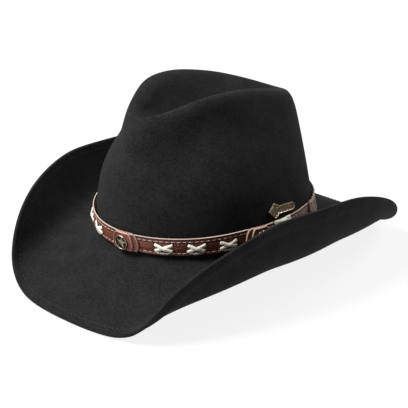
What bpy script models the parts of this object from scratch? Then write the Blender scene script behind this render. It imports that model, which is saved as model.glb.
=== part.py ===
# Western felt hat with rolled brim sides, a laced leather band with star conchos and a side badge
# Metres, +Z up. The front of the hat is at -Y, the wearer's left is at +X, and it rests on z = 0.
import math

import bmesh
import bpy
from mathutils import Matrix, Vector

for old in list(bpy.data.objects):
    bpy.data.objects.remove(old, do_unlink=True)

# Head and crown
HEAD_LENGTH = 0.202        # outside of the crown where it meets the brim, front to back
HEAD_WIDTH = 0.168         # the same, side to side
HEAD_EGG = 0.04            # how much wider the back half of the head line is, as a share
CROWN_HEIGHT = 0.127       # head line to the sharp line of the highest crest, before rounding
CREST_ROUND = 0.026        # length of wall that the crest's round takes up
CREASE_ROUND = 0.020       # length of the crease's side that the same round takes up
VALLEY_DEPTH = 0.026       # how far the crease's floor lies below the line between its ends
VALLEY_ROUND = 0.016       # length of the crease's side that the floor's round takes up
VALLEY_REACH = 0.80        # length of the crease's floor as a share of the crest's
VALLEY_CURVE = 0.6         # 1 is a floor that curves evenly, and less is flatter in its middle
MOST_ROUND = 0.42          # the most of a side that a round takes up, as a share
BELLY_CURVE = 0.8          # 1 is a belly at half the wall's height, and less is one lower down
PINCH_UP = 0.74            # where the pinches are deepest, as a share of the wall's height
PINCH_SPREAD = 0.20        # how far the pinches fade up and down, as a share of that height

# Brim
BRIM_FRONT = 0.0715        # flat width of the brim at the front and the back
BRIM_SIDE = 0.0625         # flat width of the brim at the sides
RIM_SQUARENESS = 2.63      # 2 is an oval rim, and more is squarer at its corners
DIP_START = 0.035          # from the middle of the head to where the brim starts to fall
DIP_FRONT = 0.0475         # how far the front edge falls
DIP_BACK = 0.038           # how far the back edge falls
DIP_CURVE = 1.36           # 1 is a straight fall, and more is a hollow one
STEEPEST_FALL = 0.95       # steepest slope of the fall
SIDE_SAG = 0.009           # how far the sides hang before they roll up
SAG_REACH = 0.77           # where the hang ends, as a share of the way to the rim
RIGHT_SETTLE = 0.003       # how much lower the rim lies on the wearer's right
RIGHT_SETTLE_BACK = 2.5    # 0 is even from front to back, and more is lower towards the back
BREAK_WAVE = 0.008         # how far the head line stands proud of the dip at front and back
BREAK_TILT = 0.002         # how far its front stands above its middle
BREAK_FADE = 1.5           # 1 fades both evenly out to the rim, and more fades them sooner

# Felt
FELT_WALL = 0.0022
BREAK_ROUND = 0.0035       # size of the small round between crown and brim
WELT_WIDTH = 0.009         # width of the edge that is folded under and stitched
WELT_THICKNESS = 0.0036
WELT_STEP = 0.0012         # width of the step from the single felt to the welt
RIM_ROUND = 0.0009         # how far the rim's two corners are taken off

# Leather band
BAND_HEIGHT = 0.015
BAND_THICKNESS = 0.0024
BAND_LIFT = 0.0042         # head line to the band's lower edge
BAND_RISE = 0.0024         # how much higher the band sits in the middle of each side
BAND_RISE_FADE = 24        # more keeps the rise nearer to the middle of each side
BAND_EDGE = 0.0005         # how far the band's outer corners are taken off
CLEARANCE = 0.0003         # gap between pieces that touch

# Conchos on leather tabs, with laced crosses between them
CONCHO_PITCH = 0.119       # along the band from the front concho to the one on each side
CONCHO_DIAMETER = 0.0125
CONCHO_RING = 0.0013       # width of the concho's outer ring
STAR_WAIST = 0.45          # where two arms of the star meet, as a share of its own radius
CONCHO_THICKNESS = 0.0016
CONCHO_SHIFT = 0.006       # how far the front concho sits towards the wearer's left
TAB_LENGTH = 0.028
TAB_OVERLAP = 0.0012       # how far the tab stands past the band's upper edge
TAB_THICKNESS = 0.0016
TAB_ROUND = 0.0055         # radius of its corners
KEEPER_PITCH = 0.078       # from a side concho back to the keeper on the band
KEEPER_LENGTH = 0.020
CROSS_MIDDLE = 0.0625      # along the band from the front concho to the middle cross of three
CROSS_PITCH = 0.0265       # along the band from one cross to the next
CROSS_LENGTH = 0.0165
CROSS_HEIGHT = 0.0098
CROSS_UP = 0.0062          # the band's lower edge to the middle of a cross
LAST_CROSS = 0.0275        # from a side concho back to the last cross, a long and flat one
LAST_CROSS_LENGTH = 0.0215
LAST_CROSS_HEIGHT = 0.0064
LAST_CROSS_UP = 0.0118     # the band's lower edge to its middle
LACE_WIDTH = 0.0034        # two strands side by side
LACE_THICKNESS = 0.0014

# Side badge, an arrow-shaped plate with a raised border
BADGE_TURN = 93.8          # where its middle sits, in degrees from the front
BADGE_LIFT = 0.0084        # the band's upper edge, without its rise, to the badge's middle
BADGE_SLOPE = 6.5          # degrees that its tip points up
BADGE_LENGTH = 0.034
BADGE_BODY_HEIGHT = 0.0068
BADGE_HEAD_LENGTH = 0.0075
BADGE_HEAD_HEIGHT = 0.0128
BADGE_NECK = 0.0053        # from the head's two corners back to where the plain body starts
BADGE_THICKNESS = 0.0015
BADGE_BORDER = 0.0009
BADGE_SUNK = 0.0004        # how far the face lies below its border

COLUMNS = 72               # steps round the hat
BAND_STEPS = 720           # finer steps round it, along which places on the band are measured
FELT_SHARP = 60            # edges with a larger turn in degrees are sharp
TRIM_SHARP = 40
WALL_ROWS = 8
CREST_ROWS = 5
CREASE_ROWS = 2
VALLEY_ROWS = 3
BRIM_ROWS = 7

# Sections of the crown by the turn from the front in degrees. The crest's place is a share of
# half the head's width and length, and its height a share of CROWN_HEIGHT. The wall stands out
# by belly and is pinched in by pinch, both as shares of half the head's width.
CREST = (
    dict(turn=0, half=0.00, reach=0.84, height=0.83, belly=0.085, pinch=0.00),
    dict(turn=20, half=0.20, reach=0.75, height=0.88, belly=0.096, pinch=0.05),
    dict(turn=45, half=0.415, reach=0.505, height=0.96, belly=0.102, pinch=0.13),
    dict(turn=70, half=0.51, reach=0.25, height=0.99, belly=0.077, pinch=0.10),
    dict(turn=100, half=0.515, reach=-0.11, height=0.965, belly=0.031, pinch=0.04),
    dict(turn=140, half=0.42, reach=-0.625, height=0.85, belly=0.028, pinch=0.00),
    dict(turn=180, half=0.00, reach=-0.895, height=0.74, belly=0.038, pinch=0.00),
)

# Sections of the side roll along the hat, from the front edge at -1 to the back edge at 1. It
# starts at a share of half the head's width, has a radius that is a share of BRIM_SIDE, and
# turns up by an angle in degrees.
ROLL = (
    dict(along=-1.0, start=0.58, radius=0.40, turn=71),
    dict(along=-0.5, start=1.04, radius=0.35, turn=86),
    dict(along=0.0, start=1.19, radius=0.36, turn=92),
    dict(along=0.5, start=1.12, radius=0.38, turn=82),
    dict(along=1.0, start=0.75, radius=0.51, turn=65),
)


# The sections of a table between two of its rows, on a smooth curve through them all
def section_at(rows, key, place):
    last = len(rows) - 1
    before = 0
    while before < last - 1 and place > rows[before + 1][key]:
        before += 1
    after = before + 1
    low = max(before - 1, 0)
    high = min(after + 1, last)
    span = rows[after][key] - rows[before][key]
    share = (place - rows[before][key]) / span
    values = {}
    for name in rows[0]:
        if name == key:
            continue
        first, second = rows[before][name], rows[after][name]
        slope_before = (second - rows[low][name]) / (rows[after][key] - rows[low][key]) * span
        slope_after = (rows[high][name] - first) / (rows[high][key] - rows[before][key]) * span
        left = 1 - share
        values[name] = (
            first * left * left * (1 + 2 * share)
            + second * share * share * (3 - 2 * share)
            + slope_before * share * left * left
            - slope_after * share * share * left
        )
    return values


# The crown's table with two mirrored rows at each end, so that it runs smoothly round the hat
def whole_crest():
    front = [dict(row, turn=-row["turn"], half=-row["half"]) for row in (CREST[2], CREST[1])]
    back = [dict(row, turn=360 - row["turn"], half=-row["half"]) for row in (CREST[-2], CREST[-3])]
    return front + list(CREST) + back


CREST_ALL_ROUND = whole_crest()


# The head line seen from above, by the turn from the front
def head_oval(turn):
    width = HEAD_WIDTH / 2 * math.sin(turn) * (1 - HEAD_EGG * math.cos(turn))
    return Vector((width, -HEAD_LENGTH / 2 * math.cos(turn), 0))


# The direction that points out of the head line
def head_outward(turn):
    step = 0.001
    along = head_oval(turn + step) - head_oval(turn - step)
    return Vector((along.y, -along.x, 0)).normalized()


# The rim as it lies before the brim is shaped, a rounded rectangle between an oval and a box
def flat_rim(turn):
    power = 2 / RIM_SQUARENESS
    side, front = math.sin(turn), math.cos(turn)
    x = (HEAD_WIDTH / 2 + BRIM_SIDE) * math.copysign(abs(side) ** power, side)
    y = -(HEAD_LENGTH / 2 + BRIM_FRONT) * math.copysign(abs(front) ** power, front)
    return Vector((x, y, 0))


# The brim's fall to the front and the back, which keeps its length: the new y and the drop
def fallen(y):
    reach = HEAD_LENGTH / 2 + BRIM_FRONT - DIP_START
    fall = DIP_FRONT if y < 0 else DIP_BACK
    steps = 40
    step = max(abs(y) - DIP_START, 0) / steps
    new_y = min(abs(y), DIP_START)
    drop = 0
    for count in range(steps):
        share = (count + 0.5) * step / reach
        slope = min(fall / reach * DIP_CURVE * share ** (DIP_CURVE - 1), STEEPEST_FALL)
        new_y += step * math.sqrt(1 - slope * slope)
        drop += step * slope
    return math.copysign(new_y, y), drop


# The side roll, which keeps its width: the new x and the rise
def rolled(x, start, radius, most):
    past = max(abs(x) - start, 0)
    angle = min(past / radius, most)
    straight = past - angle * radius
    new_x = min(abs(x), start) + radius * math.sin(angle) + straight * math.cos(angle)
    rise = radius * (1 - math.cos(angle)) + straight * math.sin(angle)
    return math.copysign(new_x, x), rise


# A point of the brim's upper face, where out is 0 at the head line and 1 at the rim
def brim_point(turn, out):
    flat = head_oval(turn).lerp(flat_rim(turn), out)
    along = flat.y / (HEAD_LENGTH / 2 + BRIM_FRONT)
    section = section_at(ROLL, "along", max(-1, min(1, along)))
    start = section["start"] * HEAD_WIDTH / 2
    x, rise = rolled(flat.x, start, section["radius"] * BRIM_SIDE, math.radians(section["turn"]))
    y, drop = fallen(flat.y)
    proud = BREAK_WAVE * math.cos(2 * turn) + BREAK_TILT * math.cos(turn)
    wave = proud * (1 - out) ** BREAK_FADE
    sideways = math.sin(turn)
    sag = SIDE_SAG * math.sin(math.pi * min(1, out / SAG_REACH)) * sideways ** 2
    uneven = 1 - RIGHT_SETTLE_BACK * math.cos(turn)
    settled = RIGHT_SETTLE * uneven * out ** 2 * max(0, -sideways) ** 4
    return Vector((x, y, rise - drop + wave - sag - settled))


# The crown's sharp crest line and its crease's floor line, before they are rounded
def crest_lines(turn):
    degrees = math.degrees(turn)
    around = abs((degrees + 180) % 360 - 180)
    side = 1 if 0 <= degrees <= 180 else -1
    section = section_at(CREST_ALL_ROUND, "turn", around)
    crest = Vector((
        side * section["half"] * HEAD_WIDTH / 2,
        -section["reach"] * HEAD_LENGTH / 2,
        section["height"] * CROWN_HEIGHT,
    ))
    front, back = CREST[0], CREST[-1]
    floor_y = crest.y * VALLEY_REACH
    share = (floor_y / (HEAD_LENGTH / 2) + front["reach"]) / (front["reach"] - back["reach"])
    share = max(0, min(1, share))
    ends = (front["height"] + (back["height"] - front["height"]) * share) * CROWN_HEIGHT
    floor = Vector((0, floor_y, ends - VALLEY_DEPTH * math.sin(math.pi * share) ** VALLEY_CURVE))
    return crest, floor, section


# How far the crown's wall stands out or is pinched in at a share of its height
def wall_swell(section, share):
    low = max(share, 0) ** BELLY_CURVE
    pinch = math.exp(-((share - PINCH_UP) / PINCH_SPREAD) ** 2)
    return (4 * section["belly"] * low * (1 - low) - section["pinch"] * pinch) * HEAD_WIDTH / 2


# A point of the crown's wall at a height above the head line
def wall_point(turn, height, outward=0.0):
    crest, _, section = crest_lines(turn)
    base = brim_point(turn, 0)
    share = height / (crest.z - base.z)
    return base.lerp(crest, share) + head_outward(turn) * (wall_swell(section, share) + outward)


# A quarter round from start to end that keeps inside the corner between them
def corner(start, middle, end, share):
    return start.lerp(middle, share).lerp(middle.lerp(end, share), share)


# One column of the crown's outer face, from just above the head line to the crease's floor
def crown_column(turn):
    crest, floor, section = crest_lines(turn)
    base = brim_point(turn, 0)
    wall, crease = crest - base, floor - crest
    wall_end = crest - wall * min(CREST_ROUND / wall.length, MOST_ROUND)
    crease_start = crest + crease * min(CREASE_ROUND / crease.length, MOST_ROUND)
    crease_end = floor - crease * min(VALLEY_ROUND / crease.length, MOST_ROUND)
    first = BREAK_ROUND / wall.length
    points = []
    for row in range(WALL_ROWS):
        share = first + (1 - first) * row / WALL_ROWS
        points.append(base.lerp(wall_end, share))
    for row in range(CREST_ROWS + 1):
        points.append(corner(wall_end, crest, crease_start, row / CREST_ROWS))
    swollen = len(points)
    for row in range(1, CREASE_ROWS + 1):
        points.append(crease_start.lerp(crease_end, row / CREASE_ROWS))
    middle = floor.lerp(crease_end, 0.5)
    bottom = Vector((0, floor.y, middle.z))
    for row in range(1, VALLEY_ROWS + 1):
        points.append(corner(crease_end, middle, bottom, row / VALLEY_ROWS))
    outward = head_outward(turn)
    for place in range(swollen):
        share = (points[place].z - base.z) / (crest.z - base.z)
        points[place] += outward * wall_swell(section, share)
    return points


# One column of the brim's upper face from the rim to the head line
def brim_column(turn):
    width = (flat_rim(turn) - head_oval(turn)).length
    welt = WELT_WIDTH + WELT_STEP
    inward = [0, RIM_ROUND, WELT_WIDTH, welt]
    for row in range(1, BRIM_ROWS + 1):
        inward.append(welt + (width - BREAK_ROUND - welt) * row / BRIM_ROWS)
    return [brim_point(turn, 1 - distance / width) for distance in inward]


# The empty that carries the hat, so that the whole of it can be tipped and lifted
rest = bpy.data.objects.new("rest", None)
bpy.context.collection.objects.link(rest)


# A new object whose mesh is taken from a bmesh and faces outwards
def add_object(name, bm, material, sharp):
    bmesh.ops.recalc_face_normals(bm, faces=bm.faces)
    if bm.calc_volume(signed=True) < 0:
        bmesh.ops.reverse_faces(bm, faces=bm.faces)
    mesh = bpy.data.meshes.new(name)
    bm.to_mesh(mesh)
    bm.free()
    mesh.shade_smooth()
    mesh.set_sharp_from_angle(angle=math.radians(sharp))
    mesh.materials.append(material)
    piece = bpy.data.objects.new(name, mesh)
    bpy.context.collection.objects.link(piece)
    piece.parent = rest
    return piece


def add_material(name, colour, roughness, metallic=0.0):
    material = bpy.data.materials.new(name)
    material.use_nodes = True
    shader = material.node_tree.nodes["Principled BSDF"]
    shader.inputs["Base Color"].default_value = (*colour, 1.0)
    shader.inputs["Roughness"].default_value = roughness
    shader.inputs["Metallic"].default_value = metallic
    return material


# Crown and brim are one felt sheet: its outer face first, then its inner face, then the rim
def add_felt_body():
    turns = [2 * math.pi * column / COLUMNS for column in range(COLUMNS)]
    columns = [brim_column(turn) + crown_column(turn) for turn in turns]
    rows = len(columns[0])
    walls = [FELT_WALL] * rows
    walls[0:3] = [WELT_THICKNESS - RIM_ROUND, WELT_THICKNESS, WELT_THICKNESS]
    bm = bmesh.new()
    outer = []
    for row in range(rows - 1):
        outer.append([bm.verts.new(column[row]) for column in columns])
    seam = [bm.verts.new(columns[column][-1]) for column in range(COLUMNS // 2 + 1)]
    outer.append([seam[min(column, COLUMNS - column)] for column in range(COLUMNS)])
    add_sheet(bm, outer)
    bm.normal_update()
    inner_of = {}
    for row, wall in zip(outer, walls):
        for vertex in row:
            inner_of[vertex] = vertex.co - vertex.normal * wall * vertex.calc_shell_factor()
    for vertex in outer[0]:
        vertex.co -= vertex.normal * RIM_ROUND
    inner_vertex = {vertex: bm.verts.new(place) for vertex, place in inner_of.items()}
    inner = [[inner_vertex[vertex] for vertex in row] for row in outer]
    add_sheet(bm, inner)
    add_sheet(bm, [outer[0], inner[0]])
    return add_object("felt_body", bm, felt, FELT_SHARP)


# Faces between rows of vertices that each run once round the hat
def add_sheet(bm, rows):
    for lower, upper in zip(rows, rows[1:]):
        for column in range(COLUMNS):
            following = (column + 1) % COLUMNS
            bm.faces.new((lower[column], lower[following], upper[following], upper[column]))


# Tips and lifts the empty that carries the hat until its front and back edges meet the floor
def settle(piece):
    angle = 0.0
    attempts = 8
    for attempt in range(attempts):
        turned = [Matrix.Rotation(angle, 3, "X") @ vertex.co for vertex in piece.data.vertices]
        front = min((point for point in turned if point.y < 0), key=lambda point: point.z)
        back = min((point for point in turned if point.y > 0), key=lambda point: point.z)
        angle -= math.atan2(back.z - front.z, back.y - front.y)
    rest.rotation_euler.x = angle
    rest.location.z = -min(front.z, back.z)


# The height of the band's lower edge over the head line
def band_lift(turn):
    return BAND_LIFT + BAND_RISE * abs(math.sin(turn)) ** BAND_RISE_FADE


# The band, a closed loop whose inner face follows the crown's wall
def add_hat_band():
    low, middle, high = 0, BAND_HEIGHT / 2, BAND_HEIGHT
    back, face = CLEARANCE, CLEARANCE + BAND_THICKNESS
    section = (
        (middle, back),
        (low, back),
        (low, face - BAND_EDGE),
        (low + BAND_EDGE, face),
        (middle, face),
        (high - BAND_EDGE, face),
        (high, face - BAND_EDGE),
        (high, back),
    )
    bm = bmesh.new()
    rows = []
    for height, outward in section:
        row = []
        for column in range(COLUMNS):
            turn = 2 * math.pi * column / COLUMNS
            row.append(bm.verts.new(wall_point(turn, band_lift(turn) + height, outward)))
        rows.append(row)
    add_sheet(bm, rows + [rows[0]])
    return add_object("hat_band", bm, leather, TRIM_SHARP)


# The turns round the hat by the length along the band's face, from the front to the left
def band_lengths():
    middle = BAND_HEIGHT / 2
    turns = [2 * math.pi * step / BAND_STEPS - math.pi for step in range(BAND_STEPS + 1)]
    face = CLEARANCE + BAND_THICKNESS
    places = [wall_point(turn, band_lift(turn) + middle, face) for turn in turns]
    lengths = [0.0]
    for before, after in zip(places, places[1:]):
        lengths.append(lengths[-1] + (after - before).length)
    front = lengths[BAND_STEPS // 2]
    return turns, [length - front for length in lengths]


# A point on or over the band's face: along it from the front, up from its lower edge, and out
def band_point(along, up, out):
    turns, lengths = BAND_LENGTHS
    low, high = 0, len(lengths) - 1
    while high - low > 1:
        step = (low + high) // 2
        if lengths[step] > along:
            high = step
        else:
            low = step
    share = (along - lengths[low]) / (lengths[high] - lengths[low])
    turn = turns[low] + (turns[high] - turns[low]) * share
    return wall_point(turn, band_lift(turn) + up, CLEARANCE + BAND_THICKNESS + out)


BAND_LENGTHS = band_lengths()


# Gives flat faces a thickness along +Z
def thicken(bm, thickness):
    grown = bmesh.ops.extrude_face_region(bm, geom=list(bm.faces))
    top = [item for item in grown["geom"] if isinstance(item, bmesh.types.BMVert)]
    bmesh.ops.translate(bm, verts=top, vec=(0, 0, thickness))


# Bends a flat piece round the band: its x runs along the band, its y up and its z out
def bend_on_band(bm, along, up, out):
    for vertex in bm.verts:
        x, y, z = vertex.co
        vertex.co = band_point(along + x, up + y, out + z)


# A leather tab with round corners that stands past the band's upper edge
def add_tab(name, along, length):
    height = BAND_HEIGHT + TAB_OVERLAP
    radius = min(TAB_ROUND, height / 2, length / 2)
    steps = 3
    reaches = [0.0, (length / 2 - radius) / 2]
    for step in range(steps + 1):
        reaches.append(length / 2 - radius * (1 - math.sin(math.pi / 2 * step / steps)))
    stations = [-reach for reach in reversed(reaches[1:])] + reaches
    bm = bmesh.new()
    before = None
    for x in stations:
        past = max(abs(x) - (length / 2 - radius), 0)
        half = height / 2 - radius + math.sqrt(max(radius ** 2 - past ** 2, 0))
        station = [bm.verts.new((x, side * half, 0)) for side in (-1, 0, 1)]
        if before:
            bm.faces.new((before[0], station[0], station[1], before[1]))
            bm.faces.new((before[1], station[1], station[2], before[2]))
        before = station
    thicken(bm, TAB_THICKNESS)
    bend_on_band(bm, along, height / 2, CLEARANCE)
    return add_object(name, bm, leather, TRIM_SHARP)


# Two pairs of strands that cross on the band's face
def add_lace_cross(name, along, up, length, height):
    reach = math.hypot(length, height) / 2
    slant = math.atan2(height, length)
    half = LACE_WIDTH / 2
    # where two strands' edges meet, to the sides and above the middle
    side = half / math.sin(slant)
    top = half / math.cos(slant)
    bm = bmesh.new()
    places = ((side, 0, 0), (0, top, 0), (-side, 0, 0), (0, -top, 0))
    corners = [bm.verts.new(place) for place in places]
    bm.faces.new(corners)
    halfway = (reach + max(side, top)) / 2
    for quarter in range(4):
        first, second = corners[quarter], corners[(quarter + 1) % 4]
        angle = slant if quarter in (0, 2) else math.pi - slant
        if quarter >= 2:
            angle += math.pi
        ahead = Vector((math.cos(angle), math.sin(angle), 0))
        across = Vector((-ahead.y, ahead.x, 0))
        before = (first, second)
        for distance in (halfway, reach):
            pair = (
                bm.verts.new(ahead * distance - across * half),
                bm.verts.new(ahead * distance + across * half),
            )
            bm.faces.new((before[0], pair[0], pair[1], before[1]))
            before = pair
    thicken(bm, LACE_THICKNESS)
    bend_on_band(bm, along, up, CLEARANCE)
    return add_object(name, bm, cord, TRIM_SHARP)


# A ring round a five-point star, with the five gaps between them cut through
def add_concho(name, along):
    arms = 5
    per_arm = 4
    steps = arms * per_arm
    outer_radius = CONCHO_DIAMETER / 2
    inner_radius = outer_radius - CONCHO_RING
    bm = bmesh.new()

    def ring(radius, count, shift):
        verts = []
        for step in range(count):
            angle = 2 * math.pi * (step + shift) / count + math.pi / 2
            verts.append(bm.verts.new((radius * math.cos(angle), radius * math.sin(angle), 0)))
        return verts

    outer = ring(outer_radius, steps, 0.5)
    inner = ring(inner_radius, steps, 0.5)
    waists = ring(inner_radius * STAR_WAIST, arms, 0.5)
    for step in range(steps):
        after = (step + 1) % steps
        bm.faces.new((outer[step], outer[after], inner[after], inner[step]))
    for arm in range(arms):
        # an arm's blunt tip is the ring's own edge, on both sides of the arm's direction
        left = inner[per_arm * arm]
        right = inner[(per_arm * arm - 1) % steps]
        bm.faces.new((right, left, waists[arm], waists[arm - 1]))
    bm.faces.new(waists)
    thicken(bm, CONCHO_THICKNESS)
    middle = BAND_HEIGHT / 2
    centre = band_point(along, middle, 0)
    sideways = band_point(along + outer_radius, middle, 0) - band_point(along - outer_radius, middle, 0)
    upwards = band_point(along, BAND_HEIGHT, 0) - band_point(along, 0, 0)
    seat_on(bm, centre, sideways, upwards, 2 * CLEARANCE + TAB_THICKNESS)
    return add_object(name, bm, bronze, TRIM_SHARP)


# Sets a flat piece on a face: x goes sideways, y upwards, and z out by a distance
def seat_on(bm, centre, sideways, upwards, distance):
    out = sideways.cross(upwards).normalized()
    upwards = out.cross(sideways).normalized()
    turn = Matrix((sideways.normalized(), upwards, out)).transposed()
    for vertex in bm.verts:
        vertex.co = centre + turn @ (vertex.co + Vector((0, 0, distance)))


# The arrow-shaped plate: its outline, its thickness, and a face sunk inside a border
def add_side_badge():
    body, head = BADGE_BODY_HEIGHT / 2, BADGE_HEAD_HEIGHT / 2
    tip = -BADGE_LENGTH / 2
    widest = tip + BADGE_HEAD_LENGTH
    neck = widest + BADGE_NECK
    end = BADGE_LENGTH / 2 - body
    outline = [(tip, 0), (widest, -head), (neck, -body)]
    steps = 6
    for step in range(steps + 1):
        angle = -math.pi / 2 + math.pi * step / steps
        outline.append((end + body * math.cos(angle), body * math.sin(angle)))
    outline += [(neck, body), (widest, head)]
    bm = bmesh.new()
    face = bm.faces.new([bm.verts.new((x, y, 0)) for x, y in outline])
    grown = bmesh.ops.extrude_face_region(bm, geom=[face])
    top = [item for item in grown["geom"] if isinstance(item, bmesh.types.BMFace)]
    bmesh.ops.translate(bm, verts=list(top[0].verts), vec=(0, 0, BADGE_THICKNESS))
    bmesh.ops.inset_region(bm, faces=top, thickness=BADGE_BORDER, depth=-BADGE_SUNK)
    slope = Matrix.Rotation(math.radians(-BADGE_SLOPE), 3, "Z")
    bmesh.ops.rotate(bm, verts=bm.verts, matrix=slope)
    turn = math.radians(BADGE_TURN)
    half_turn = BADGE_LENGTH / HEAD_LENGTH
    height = BAND_LIFT + BAND_HEIGHT + BADGE_LIFT
    centre = wall_point(turn, height)
    sideways = wall_point(turn + half_turn, height) - wall_point(turn - half_turn, height)
    upwards = wall_point(turn, height + head) - wall_point(turn, height - head)
    seat_on(bm, centre, sideways, upwards, CLEARANCE)
    return add_object("side_badge", bm, bronze, TRIM_SHARP)


felt = add_material("black_felt", (0.012, 0.012, 0.013), 0.95)
leather = add_material("brown_leather", (0.13, 0.035, 0.018), 0.50)
cord = add_material("cream_lace", (0.72, 0.66, 0.52), 0.85)
bronze = add_material("aged_bronze", (0.30, 0.23, 0.15), 0.42, 1.0)

settle(add_felt_body())
add_hat_band()
for number, side in enumerate((-1, 0, 1), start=1):
    along = CONCHO_SHIFT + side * CONCHO_PITCH
    add_tab(f"concho_tab_{number}", along, TAB_LENGTH)
    add_concho(f"concho_{number}", along)
for number, side in enumerate((-1, 1), start=1):
    along = CONCHO_SHIFT + side * (CONCHO_PITCH + KEEPER_PITCH)
    add_tab(f"band_keeper_{number}", along, KEEPER_LENGTH)
last_cross = (LAST_CROSS_UP, LAST_CROSS_LENGTH, LAST_CROSS_HEIGHT)
crosses = [(side * (CONCHO_PITCH + LAST_CROSS), *last_cross) for side in (-1, 1)]
for side in (-1, 1):
    for count in (-1, 0, 1):
        place = side * CROSS_MIDDLE + count * CROSS_PITCH
        crosses.append((place, CROSS_UP, CROSS_LENGTH, CROSS_HEIGHT))
for number, (place, *sizes) in enumerate(sorted(crosses), start=1):
    add_lace_cross(f"lace_cross_{number}", CONCHO_SHIFT + place, *sizes)
add_side_badge()
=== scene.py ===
# A black western felt hat with a laced leather band, star conchos and a side badge
import math
import random

import bmesh
import bpy
from mathutils import Matrix, Vector
from mathutils.bvhtree import BVHTree


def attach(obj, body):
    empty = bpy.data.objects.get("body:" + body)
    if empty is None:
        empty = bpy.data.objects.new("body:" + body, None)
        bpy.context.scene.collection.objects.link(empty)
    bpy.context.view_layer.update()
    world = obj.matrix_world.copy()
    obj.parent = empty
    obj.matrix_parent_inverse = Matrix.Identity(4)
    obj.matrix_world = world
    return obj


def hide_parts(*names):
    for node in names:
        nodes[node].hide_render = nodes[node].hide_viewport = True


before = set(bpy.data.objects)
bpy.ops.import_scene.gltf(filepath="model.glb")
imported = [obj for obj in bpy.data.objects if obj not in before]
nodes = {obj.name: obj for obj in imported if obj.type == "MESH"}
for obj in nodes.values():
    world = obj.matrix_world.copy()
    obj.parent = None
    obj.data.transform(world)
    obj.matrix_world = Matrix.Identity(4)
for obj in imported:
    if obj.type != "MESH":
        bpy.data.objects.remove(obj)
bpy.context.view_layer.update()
print("frame loaded:", len(nodes), "nodes")

# the hat's own shape, the same sizes as its solids, in metres
head = {
    "length": 0.202, "width": 0.168, "egg": 0.04, "height": 0.127,
    "pinchUp": 0.74, "pinchSpread": 0.20, "bellyCurve": 0.8,
}
brim = {
    "front": 0.0715, "side": 0.0625, "squareness": 2.63,
    "dipStart": 0.035, "dipFront": 0.0475, "dipBack": 0.038, "dipCurve": 1.36, "steepest": 0.95,
    "sag": 0.009, "sagReach": 0.77, "settle": 0.003, "settleBack": 2.5,
    "breakWave": 0.008, "breakTilt": 0.002, "breakFade": 1.5,
}
band = {
    "lift": 0.0042, "height": 0.015, "thickness": 0.0024, "gap": 0.0003,
    "rise": 0.0024, "riseFade": 24,
}
stand = {"tip": math.radians(-1.62653), "lift": 0.0456393}  # how the hat rests on the floor

# crown: turn from the front, crest's half width and reach, its height, the wall's belly and pinch
crestRows = (
    (0, 0.00, 0.84, 0.83, 0.085, 0.00),
    (20, 0.20, 0.75, 0.88, 0.096, 0.05),
    (45, 0.415, 0.505, 0.96, 0.102, 0.13),
    (70, 0.51, 0.25, 0.99, 0.077, 0.10),
    (100, 0.515, -0.11, 0.965, 0.031, 0.04),
    (140, 0.42, -0.625, 0.85, 0.028, 0.00),
    (180, 0.00, -0.895, 0.74, 0.038, 0.00),
)
# brim: place from the front edge at -1 to the back edge at 1, the roll's start, radius and turn
rollRows = (
    (-1.0, 0.58, 0.40, 71),
    (-0.5, 1.04, 0.35, 86),
    (0.0, 1.19, 0.36, 92),
    (0.5, 1.12, 0.38, 82),
    (1.0, 0.75, 0.51, 65),
)


# a table's row at any place, on a smooth curve through the rows
def rowAt(rows, place):
    last = len(rows) - 1
    at = 0
    while at < last - 1 and place > rows[at + 1][0]:
        at += 1
    first, second = rows[at], rows[at + 1]
    before, after = rows[max(at - 1, 0)], rows[min(at + 2, last)]
    span = second[0] - first[0]
    share = (place - first[0]) / span
    left = 1 - share
    mixed = []
    for column in range(1, len(first)):
        rise = (second[column] - before[column]) / (second[0] - before[0]) * span
        fall = (after[column] - first[column]) / (after[0] - first[0]) * span
        mixed.append(
            first[column] * left * left * (1 + 2 * share)
            + second[column] * share * share * (3 - 2 * share)
            + rise * share * left * left
            - fall * share * share * left
        )
    return mixed


# the crown's rows with mirrored ones at both ends, so that it runs smoothly round the hat
def mirroredRow(row, turn):
    return (turn, -row[1]) + row[2:]


crownRows = [mirroredRow(crestRows[at], -crestRows[at][0]) for at in (2, 1)]
crownRows += crestRows
crownRows += [mirroredRow(crestRows[at], 360 - crestRows[at][0]) for at in (-2, -3)]


# the head line seen from above
def headLine(turn):
    wide = head["width"] / 2 * math.sin(turn) * (1 - head["egg"] * math.cos(turn))
    return Vector((wide, -head["length"] / 2 * math.cos(turn), 0))


def headOutward(turn):
    step = 0.001
    along = headLine(turn + step) - headLine(turn - step)
    return Vector((along.y, -along.x, 0)).normalized()


# the rim before the brim is shaped
def flatRim(turn):
    power = 2 / brim["squareness"]
    side, front = math.sin(turn), math.cos(turn)
    x = (head["width"] / 2 + brim["side"]) * math.copysign(abs(side) ** power, side)
    y = -(head["length"] / 2 + brim["front"]) * math.copysign(abs(front) ** power, front)
    return Vector((x, y, 0))


# the brim's fall to the front and the back
def brimFall(y):
    reach = head["length"] / 2 + brim["front"] - brim["dipStart"]
    fall = brim["dipFront"] if y < 0 else brim["dipBack"]
    steps = 40
    step = max(abs(y) - brim["dipStart"], 0) / steps
    newY, drop = min(abs(y), brim["dipStart"]), 0
    for count in range(steps):
        share = (count + 0.5) * step / reach
        slope = fall / reach * brim["dipCurve"] * share ** (brim["dipCurve"] - 1)
        slope = min(slope, brim["steepest"])
        newY += step * math.sqrt(1 - slope * slope)
        drop += step * slope
    return math.copysign(newY, y), drop


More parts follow.
